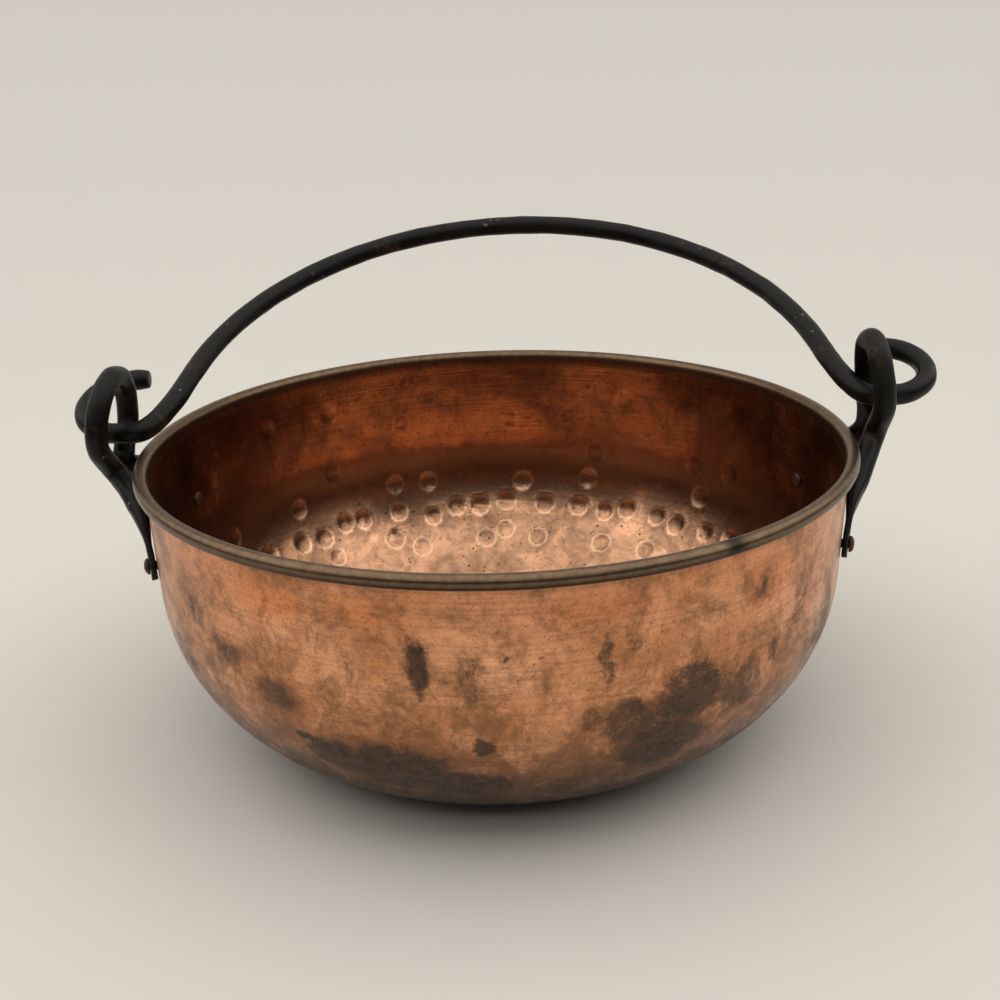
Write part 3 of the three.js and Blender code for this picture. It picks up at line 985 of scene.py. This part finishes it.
def copper_material():
    """Aged copper: the bowl's own layers say where its inside, its rim and its hammer marks are."""
    material, n, shader = new_material("aged_copper")
    place = n.object_place()
    height = n.add("ShaderNodeSeparateXYZ", {"Vector": place}).outputs["Z"]
    inside = n.attribute("inside")
    rim = n.attribute("rim")
    cloud = n.noise(place, *CLOUD_NOISE)
    grain = n.noise(place, *GRAIN_NOISE)
    lines = n.noise(n.stretch(place, LINE_STRETCH), *LINE_NOISE)
    group = spot_group()
    ragged = wandering(n, place)
    stains = mark_mask(n, ragged, group, STAINS)
    # Painted orange highlights on the outside
    highlights = mark_mask(n, ragged, group, PAINTED_HIGHLIGHTS)
    # The dirt mask also carries the painted shade low on the outside
    outer, dirt_and_shade = outside_colour(n, place, height, lines, cloud, grain, stains, highlights)
    inner, pits = inside_colour(n, place, height, lines, cloud, grain)
    bead = rim_colour(n, height, grain, mark_mask(n, place, group, RIM_MARKS))
    n.put(shader["Base Color"], n.mix(rim, n.mix(inside, outer, inner), bead))
    outside = n.math("SUBTRACT", 1.0, n.math("MAXIMUM", inside, rim))
    dirt_and_shade = n.math("MULTIPLY", dirt_and_shade, outside)
    n.put(shader["Metallic"], n.blend(dirt_and_shade, CLEAN_METAL, DIRT_AND_SHADE_METAL))
    outer_rough = n.total((n.ramp(cloud, 0.3, 0.7, *OUTSIDE_ROUGH), 1.0), (dirt_and_shade, DIRT_AND_SHADE_ROUGH))
    inner_rough = n.ramp(cloud, 0.3, 0.7, *INSIDE_ROUGH)
    n.put(shader["Roughness"], n.blend(rim, n.blend(inside, outer_rough, inner_rough), RIM_ROUGH))
    relief = n.total((lines, 0.45), (grain, 0.55))
    relief = n.math("SUBTRACT", relief, n.math("MULTIPLY", pits, inside))
    n.put(shader["Normal"], n.bump(relief, *COPPER_BUMP))
    return material


def forged_group():
    """The forged finish of every iron piece: near-black skin with rust and bare chips."""
    outputs = {"Colour": "NodeSocketColor", "Roughness": "NodeSocketFloat", "Relief": "NodeSocketFloat"}
    n, given, sent = new_group("forged_skin", {"Place": "NodeSocketVector"}, outputs)
    place = given["Place"]
    broad = n.noise(place, *IRON_NOISE)
    fine = n.noise(place, *SCALE_NOISE)
    rusty = n.noise(place, *RUST_NOISE)
    chipped = n.noise(place, *CHIP_NOISE)
    lumps = n.noise(place, *LUMP_NOISE)
    colour = n.mix(n.ramp(broad, 0.35, 0.7), IRON_BLACK, IRON_GREY)
    rust = n.math("MULTIPLY", n.ramp(rusty, 0.58, 0.7), n.ramp(fine, 0.45, 0.6))
    colour = n.mix(n.math("MULTIPLY", rust, 0.7), colour, RUST)
    chips = n.math("MULTIPLY", n.ramp(chipped, 0.64, 0.69), n.ramp(fine, 0.52, 0.6))
    n.put(sent["Colour"], n.mix(n.math("MULTIPLY", chips, 0.8), colour, BARE_CHIP))
    n.put(sent["Roughness"], n.ramp(broad, 0.3, 0.7, *IRON_ROUGH))
    n.put(sent["Relief"], n.total((fine, 0.5), (lumps, 1.0)))
    return n.tree


def iron_material(name, group, brown):
    """Forged iron; brown from 0 to 1 tints it like the rivets."""
    material, n, shader = new_material(name)
    skin = n.add("ShaderNodeGroup", node_tree=group)
    n.put(skin.inputs["Place"], n.object_place())
    n.put(shader["Base Color"], n.mix(brown, skin.outputs["Colour"], BROWNED_IRON))
    n.put(shader["Metallic"], IRON_METAL + (BROWNED_METAL - IRON_METAL) * brown)
    n.put(shader["Specular IOR Level"], IRON_SHINE)
    n.put(shader["Roughness"], skin.outputs["Roughness"])
    n.put(shader["Normal"], n.bump(skin.outputs["Relief"], *IRON_BUMP))
    return material


def floor_material():
    material, n, shader = new_material("pale_floor")
    n.put(shader["Base Color"], FLOOR_COLOUR)
    n.put(shader["Roughness"], FLOOR_ROUGH)
    return material


# The pieces
def dress(obj, material, body, node):
    obj.data.materials.clear()
    obj.data.materials.append(material)
    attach(obj, body)
    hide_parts(node)


copper = copper_material()
forged = forged_group()
iron = iron_material("forged_iron", forged, 0.0)
rivet_iron = iron_material("browned_iron", forged, 0.6)

dress(new_object("bowl_look", shape_bowl), copper, "pot", "bowl")
dress(make_ear("ear_left_look", LEFT_EYE, True), iron, "pot", "ear_left")
dress(make_ear("ear_right_look", RIGHT_EYE, False), iron, "pot", "ear_right")
RIVET_TURNS = {
    "right_front": -FOOT_ANGLE,
    "right_back": FOOT_ANGLE,
    "left_front": math.pi + FOOT_ANGLE,
    "left_back": math.pi - FOOT_ANGLE,
}
for corner, turn in RIVET_TURNS.items():
    dress(make_rivet(f"rivet_{corner}_look", turn), rivet_iron, "pot", f"rivet_{corner}")
dress(make_bail(), iron, "handle", "bail")

# The wire inside the rim keeps its solid's shape
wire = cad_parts["rim_wire"]
wire.data.materials.clear()
wire.data.materials.append(iron)

# Floor and backdrop in one sheet, in metres
FLOOR_HALF_WIDTH = 4.0
FLOOR_FRONT = -3.0
FLOOR_BACK = 0.45
BACKDROP_BEND = 0.5
BACKDROP_TOP = 3.0
BEND_STEPS = 12


def shape_floor(bm):
    """Extrudes the front edge over the floor, round the bend and up the backdrop."""
    ends = [bm.verts.new((x, FLOOR_FRONT, 0)) for x in (-FLOOR_HALF_WIDTH, FLOOR_HALF_WIDTH)]
    edges = [bm.edges.new(ends)]
    bend_middle = (FLOOR_BACK, BACKDROP_BEND)
    line = arc(bend_middle, BACKDROP_BEND, -QUARTER_TURN, 0.0, BEND_STEPS)
    line.append((FLOOR_BACK + BACKDROP_BEND, BACKDROP_TOP))
    for y, z in line:
        points, edges = extrude_edges(bm, edges)
        for point in points:
            point.co = (point.co.x, y, z)


floor = new_object("floor", shape_floor)
floor.data.materials.append(floor_material())


# Lights
def area_light(name, place, target, size, power):
    data = bpy.data.lights.new(name, "AREA")
    data.shape = "RECTANGLE"
    data.size = size[0]
    data.size_y = size[1]
    data.energy = power
    data.color = LIGHT_COLOUR
    obj = bpy.data.objects.new(name, data)
    obj.location = place
    obj.rotation_euler = (Vector(target) - Vector(place)).to_track_quat("-Z", "Y").to_euler()
    bpy.context.scene.collection.objects.link(obj)


area_light("ceiling_light", place=(0, -0.12, 1.3), target=(0, -0.12, 0), size=(2.8, 1.8), power=21.5)
area_light("front_light", place=(-0.1, -1.05, 0.95), target=(0, 0.1, 0.04), size=(1.7, 0.22), power=2.0)
for name, x in (("left_light", -1.45), ("right_light", 1.45)):
    area_light(name, place=(x, 0, 0.98), target=(0, 0, 0.5), size=(1.9, 0.9), power=6.5)

# The world lights the part only faintly, and is pale where the camera sees it
WORLD_GLOW = 0.05
WORLD_SEEN = 0.62
world = bpy.data.worlds.new("studio")
bpy.context.scene.world = world
world.use_nodes = True
sky = Nodes(world.node_tree)
seen = sky.add("ShaderNodeLightPath").outputs["Is Camera Ray"]
backdrop = world.node_tree.nodes["Background"]
sky.put(backdrop.inputs["Color"], WORLD_COLOUR)
sky.put(backdrop.inputs["Strength"], sky.blend(seen, WORLD_GLOW, WORLD_SEEN))

# Camera, as fitted to the rim's ellipse and the base in the photo
CAMERA_PLACE = (0.00102, -0.5454, 0.2953)
PITCH = 0.355
ROLL = -0.0321
SENSOR_WIDTH = 36
FOCAL_LENGTH = 48.6
lens = bpy.data.cameras.new("camera")
lens.sensor_width = SENSOR_WIDTH
lens.lens = FOCAL_LENGTH
camera = bpy.data.objects.new("camera", lens)
pitched = Matrix.Rotation(QUARTER_TURN - PITCH, 4, "X")
rolled = Matrix.Rotation(ROLL, 4, "Z")
camera.matrix_world = Matrix.Translation(CAMERA_PLACE) @ pitched @ rolled
bpy.context.scene.collection.objects.link(camera)
bpy.context.scene.camera = camera
bpy.context.scene.view_settings.view_transform = "Standard"
